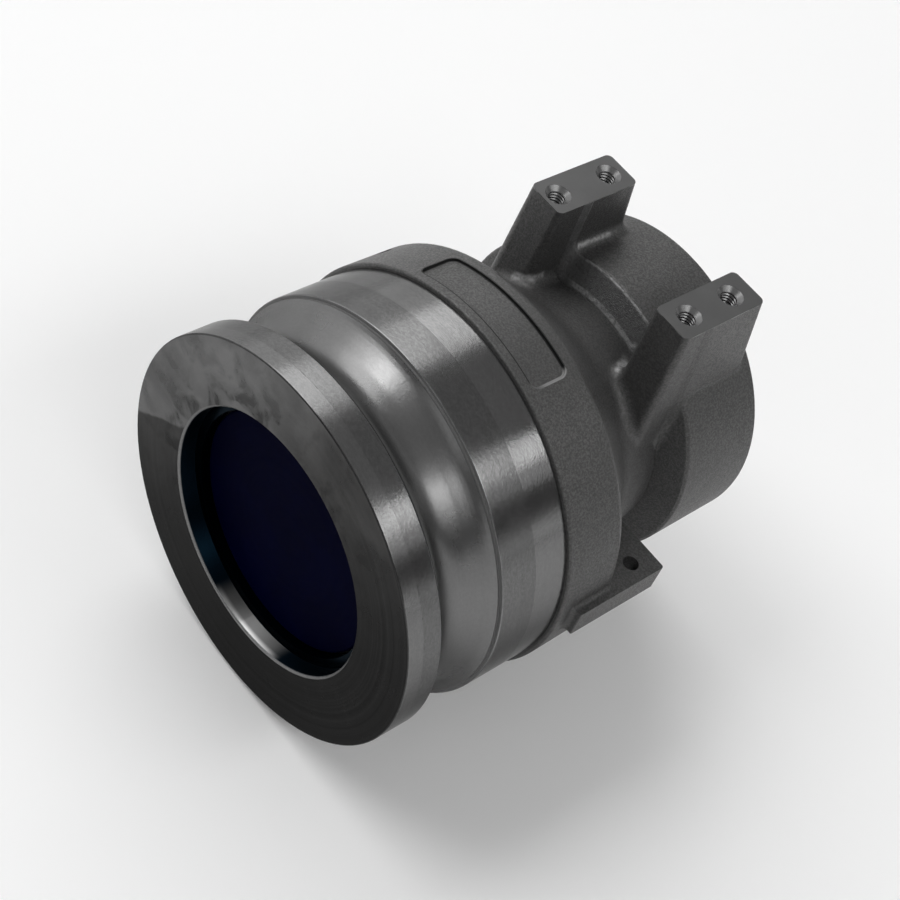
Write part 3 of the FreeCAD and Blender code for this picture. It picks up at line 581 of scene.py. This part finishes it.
def sand_tone(tree, place, parts, reach, skin, collar_face):
    """As cast skin, with painted shade and a painted highlight on the panel's wall, painted
    highlights on the collar's root, brim and face between the lugs and on the lug-foot ridges,
    broken up by noise, and a chipped bright line along the lug tops' edges.
    """
    turn = turn_about_axis(tree, parts)
    wall, wall_shade_and_highlight = panel_wall_shade(tree, parts, reach, turn)
    # Noise that breaks up the painted highlights
    painted_highlight_share = ramp(tree, noise(tree, place, HIGHLIGHT_BREAKUP), 0.30, 0.62, 0.35, 1.0)
    # Painted highlights along the collar's root and brim between the lugs
    root = product(tree, zone(tree, reach, ROOT_RADIUS, 0.5),
                   zone(tree, parts[1], COLLAR_ROOT, 0.3), between(tree, turn, *ROOT_TURN, 0.10))
    brim = product(tree, zone(tree, parts[1], COLLAR_BRIM, 0.16),
                   between(tree, turn, *BRIM_TURN, 0.12))
    # Painted light on the collar's face between the lugs
    band = product(tree, collar_face, between(tree, turn, *BAND_TURN, 0.16))
    # Painted highlights along the ridges at the lug feet
    ridge_highlights = largest(tree, *(
        within(tree, from_line(tree, place, here, there), (thick, thick + RIDGE_SOFT))
        for here, there, thick in FOOT_RIDGE_HIGHLIGHTS))
    lip = between(tree, parts[2], LUG_TOP - 0.32 * MM, LUG_TOP - 0.08 * MM, 0.05 * MM)
    lip = product(tree, lip, ramp(tree, noise(tree, place, LIP_CHIPS), 0.42, 0.58))
    edges = product(tree, largest(tree, root, product(tree, brim, 0.7)), painted_highlight_share)
    return layered(tree, blend_tone(tree, skin["Tone"], grey(0.060, 0.01), grey(0.112, 0.01)), [
        (skin["Wear"], 0.35, grey(0.085)),
        (wall, None, wall_shade_and_highlight),
        (band, 0.7, blend_tone(tree, painted_highlight_share, grey(0.085), grey(0.17))),
        (product(tree, ridge_highlights, painted_highlight_share), 0.8, grey(0.36)),
        (largest(tree, edges, product(tree, lip, 0.6)), None, grey(0.34)),
    ])


def cast_body():
    """Sand cast body with machined lug tops, countersinks, tapped holes and pipe mouth."""
    finish, tree, shader = new_finish("cast_body_skin")
    place, parts, reach = place_coordinates(tree)
    collar_face = zone(tree, parts[1], COLLAR_FACE, 0.5)
    skin = use(tree, SAND_SKIN, Grain=calc(tree, "MULTIPLY_ADD", collar_face, 1.6, 1.0), Swell=4.0)
    smear = use(tree, TURNING_MARKS, Pitch=1.0)["Smear"]
    top = ramp(tree, parts[2], LUG_TOP - 0.04 * MM, LUG_TOP - 0.02 * MM)
    sinks = product(tree, near_holes(tree, parts), between(
        tree, parts[2], LUG_TOP - SINK_DEPTH * MM, LUG_TOP - 0.05 * MM, 0.03 * MM))
    pipe = product(tree, within(tree, reach, PIPE_WALL), beyond(tree, parts[1], PIPE_DEPTH))
    socket = product(tree, within(tree, reach, SOCKET_WALL), within(tree, parts[1], SOCKET_REAR))
    bare = largest(tree, pipe, beyond(tree, parts[1], PIPE_FACE), socket)
    machined = largest(tree, top, sinks, bare)
    cut = layered(tree, blend_tone(tree, smear, grey(0.11), grey(0.15)), [
        (top, None, blend_tone(tree, smear, grey(0.092), grey(0.108))),
        (sinks, None, grey(0.18)),
    ])
    sand = sand_tone(tree, place, parts, reach, skin, collar_face)
    rough = calc(tree, "MULTIPLY_ADD", skin["Tone"], -0.10, 0.51)
    grains = product(tree, skin["Height"], calc(tree, "SUBTRACT", 1.0, machined))
    feed(tree, shader, Base_Color=blend_tone(tree, machined, sand, cut), Metallic=0.55,
         Roughness=blend_value(tree, machined, rough, blend_value(tree, top, 0.26, 0.40)),
         Normal=dent(tree, grains, SAND_DEPTH * MM))
    return finish


def plain_metal(name, level, rough):
    """Turned or drawn metal with faint marks and smears."""
    finish, tree, shader = new_finish(name)
    marks = use(tree, TURNING_MARKS, Pitch=1.2)
    dark, light = grey(level * (1 - MARKS_SHARE)), grey(level * (1 + MARKS_SHARE))
    feed(tree, shader, Base_Color=blend_tone(tree, marks["Tone"], dark, light), Metallic=1.0,
         Roughness=calc(tree, "MULTIPLY_ADD", marks["Smear"], 0.12, rough),
         Normal=dent(tree, marks["Height"], LATHE_DEPTH * MM))
    return finish


def plain_soft(name, low, high, rough, depth):
    """Rubber or plastic with a fine moulded skin."""
    finish, tree, shader = new_finish(name)
    skin = use(tree, SAND_SKIN, Grain=0.5, Swell=0.6)
    feed(tree, shader, Base_Color=blend_tone(tree, skin["Wear"], low, high), Metallic=0.0,
         Roughness=calc(tree, "MULTIPLY_ADD", skin["Tone"], 0.12, rough),
         Normal=dent(tree, skin["Height"], depth * MM))
    return finish


def coated_disc():
    """Near black navy coating with faint wipe marks and hardly any gloss."""
    finish, tree, shader = new_finish("dark_coated_disc")
    marks = use(tree, TURNING_MARKS, Pitch=0.8)
    colour = blend_tone(tree, marks["Smear"], *DISC_TONES)
    feed(tree, shader, Base_Color=colour, Metallic=0.0, IOR=1.05,
         Roughness=calc(tree, "MULTIPLY_ADD", marks["Tone"], 0.08, 0.46),
         Normal=dent(tree, marks["Height"], 0.003 * MM))
    return finish


def dress(node, finish):
    mesh = nodes[node].data
    mesh.materials.clear()
    mesh.materials.append(finish)


def mesh_piece(name, points, faces, finish, body):
    mesh = bpy.data.meshes.new(name)
    mesh.from_pydata(points.tolist(), [], faces.tolist())
    mesh.validate()
    mesh.polygons.foreach_set("use_smooth", np.full(len(mesh.polygons), True))
    mesh.materials.append(finish)
    piece = add_object(name, mesh)
    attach(piece, body)
    return piece


def grid_faces(rows, columns):
    """Quads of a grid whose rows and columns both run round and close on themselves."""
    first = np.arange(rows)[:, None]
    across = np.arange(columns)[None, :]
    after = (across + 1) % columns
    below = (first + 1) % rows
    quads = [first * columns + across, first * columns + after, below * columns + after,
             below * columns + across]
    return np.stack(quads, -1).reshape(-1, 4)


def thread_shell(root, crest, pitch, start, finish, fade, turns_round, samples):
    """Inside thread as a thin closed shell.

    The skin's radius is root minus a rounded ridge: the ridge height times a flattened triangle
    wave of (run / pitch - angle / full turn), faded to nothing at both ends. The back of the
    shell is a plain cylinder just outside the root. Returns (radius, angle, run) grids.
    """
    rows = int((finish - start) / pitch * samples) + 1
    run = np.linspace(start, finish, rows)[:, None]
    angle = np.linspace(0, 2 * math.pi, turns_round, endpoint=False)[None, :]
    phase = (run / pitch - angle / (2 * math.pi)) % 1.0
    wave = np.clip(1.25 * (1 - np.abs(2 * phase - 1)) - 0.1, 0, 1)
    edge = np.clip(np.minimum(run - start, finish - run) / fade, 0, 1)
    front = root - (root - crest) * wave * edge
    back = np.full((2, turns_round), root + 0.01 * MM)
    radius = np.concatenate([front, back])
    ends = [np.full((1, turns_round), end) for end in (finish, start)]
    runs = np.concatenate([np.broadcast_to(run, front.shape)] + ends)
    return radius, np.broadcast_to(angle, radius.shape), runs


def pipe_thread(finish):
    """Female pipe thread of eight turns an inch, on the wall of the pipe mouth."""
    radius, angle, run = thread_shell(
        root=44.43 * MM, crest=42.85 * MM, pitch=3.175 * MM, start=-23.2 * MM, finish=-0.9 * MM,
        fade=1.6 * MM, turns_round=192, samples=14)
    points = np.stack([radius * np.cos(angle), run, radius * np.sin(angle)], -1).reshape(-1, 3)
    faces = grid_faces(*radius.shape)
    return mesh_piece("pipe_thread_turns", points, faces, finish, "housing")


def lug_threads(finish):
    """Metric screw threads in the four lug holes."""
    for index, (x, y) in enumerate(LUG_HOLES):
        radius, angle, run = thread_shell(
            root=2.59 * MM, crest=2.16 * MM, pitch=1.0 * MM, start=LUG_TOP - 12.6 * MM,
            finish=LUG_TOP - 1.45 * MM, fade=0.5 * MM, turns_round=40, samples=10)
        points = np.stack([x + radius * np.cos(angle), y + radius * np.sin(angle), run], -1)
        faces = grid_faces(*radius.shape)[:, ::-1]
        mesh_piece("lug_thread_%d" % (index + 1), points.reshape(-1, 3), faces, finish, "housing")


def area_lamp(name, place, axes, across, along, strength):
    """Rectangular lamp at a place. Its strength is how bright its face is, whatever its size."""
    data = bpy.data.lights.new(name, "AREA")
    data.shape = "RECTANGLE"
    data.size = across
    data.size_y = along
    data.energy = strength * across * along * math.pi
    add_object(name, data).matrix_world = standing(place, axes)


def long_lamp(name, angle, across, near, far, strength):
    """Long soft box level with the axis, from near to far, turned round the axis by the angle."""
    turn = math.radians(angle)
    back = Vector((math.cos(turn), 0, math.sin(turn)))
    length = Vector((0, 1, 0))
    place = MIDDLE + back * LAMP_DISTANCE + length * (near + far) / 2
    area_lamp(name, place, (length.cross(back), length, back), across, far - near, strength)


def soft_lamp(name, toward, distance, across, along, strength):
    """Rectangular lamp that faces the object from a direction, its lower edge level."""
    back = Vector(toward).normalized()
    side = Vector((0, 0, 1)).cross(back).normalized()
    axes = (side, back.cross(side), back)
    area_lamp(name, MIDDLE + back * distance, axes, across, along, strength)


def set_floor():
    """Plain pale floor under the object."""
    line = np.linspace(-FLOOR_REACH, FLOOR_REACH, FLOOR_LINES)
    x, y = np.meshgrid(line, line)
    points = np.stack([x, y, np.full_like(x, FLOOR_HEIGHT)], -1).reshape(-1, 3)
    cells = np.arange(FLOOR_LINES - 1)
    corner = (cells[:, None] * FLOOR_LINES + cells[None, :]).reshape(-1)
    faces = np.stack([corner, corner + 1, corner + FLOOR_LINES + 1, corner + FLOOR_LINES], -1)
    mesh = bpy.data.meshes.new("floor")
    mesh.from_pydata(points.tolist(), [], faces.tolist())
    finish, tree, shader = new_finish("floor_paper")
    paper = noise(tree, object_place(tree), PAPER, detail=1.0)
    tone = blend_tone(tree, paper, grey(0.965), grey(0.98))
    feed(tree, shader, Base_Color=tone, Roughness=0.9, Specular_IOR_Level=0.1)
    mesh.materials.append(finish)
    floor = add_object("floor", mesh)


def set_world():
    """Dim sky with a white horizon that only the camera, reflections and clear things see."""
    world = bpy.data.worlds.new("studio")
    world.use_nodes = True
    tree = world.node_tree
    path = tree.nodes.new("ShaderNodeLightPath").outputs
    direct = calc(tree, "MAXIMUM", path["Is Camera Ray"],
                  calc(tree, "MAXIMUM", path["Is Glossy Ray"], path["Is Transmission Ray"]))
    toward = tree.nodes.new("ShaderNodeTexCoord").outputs["Generated"]
    height = put(tree, "SeparateXYZ", Vector=toward).outputs[2]
    low = product(tree, direct, ramp(tree, height, *HORIZON_FADE, 1.0, 0.0))
    background = tree.nodes["Background"].inputs
    background["Color"].default_value = (1, 1, 1, 1)
    tree.links.new(calc(tree, "MULTIPLY_ADD", low, HORIZON, SKY), background["Strength"])
    bpy.context.scene.world = world


def set_light():
    """Long soft boxes left and right, weak fills in front and behind."""
    set_world()
    for name, lamp in LONG_LAMPS.items():
        long_lamp(name, *lamp)
    for name, lamp in SOFT_LAMPS.items():
        soft_lamp(name, *lamp)
    bpy.context.scene.view_settings.view_transform = "Standard"


set_camera()
set_floor()
set_light()

NOSE = turned_nose()
CAST = cast_body()
THREAD = plain_metal("cut_thread", 0.30, 0.26)
# Darker copy of the cut thread for the lug holes, as painted shade inside them
TAPPED_SHADED = plain_metal("tapped_thread", 0.16, 0.20)
STAINLESS = plain_metal("turned_stainless", 0.50, 0.22)
SPRING = plain_metal("drawn_wire", 0.42, 0.28)
DISC = coated_disc()
SCREW = plain_metal("black_oxide", 0.05, 0.38)
RUBBER = plain_soft("seal_rubber_skin", (0.012, 0.012, 0.013, 1), (0.022, 0.022, 0.023, 1),
                    rough=0.55, depth=0.02)
PLASTIC = plain_soft("bush_plastic_skin", (0.66, 0.64, 0.58, 1), (0.74, 0.73, 0.68, 1),
                     rough=0.42, depth=0.01)

FINISHES = {
    "adapter_nose": NOSE, "adapter_body": CAST, "joint_oring": RUBBER, "nose_lock_screw": SCREW,
    "poppet_head": DISC, "poppet_seal": RUBBER, "seal_clamp_plate": DISC, "clamp_screws": STAINLESS,
    "poppet_stem": STAINLESS, "stem_lock_nut": STAINLESS, "spring_cup": STAINLESS,
    "poppet_spring": SPRING, "guide_spider": CAST, "guide_bush": PLASTIC, "stem_clip": SPRING,
}
for node, finish in FINISHES.items():
    dress(node, finish)

pipe_thread(THREAD)
lug_threads(TAPPED_SHADED)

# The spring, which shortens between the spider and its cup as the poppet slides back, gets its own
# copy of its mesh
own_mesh(nodes["poppet_spring"])
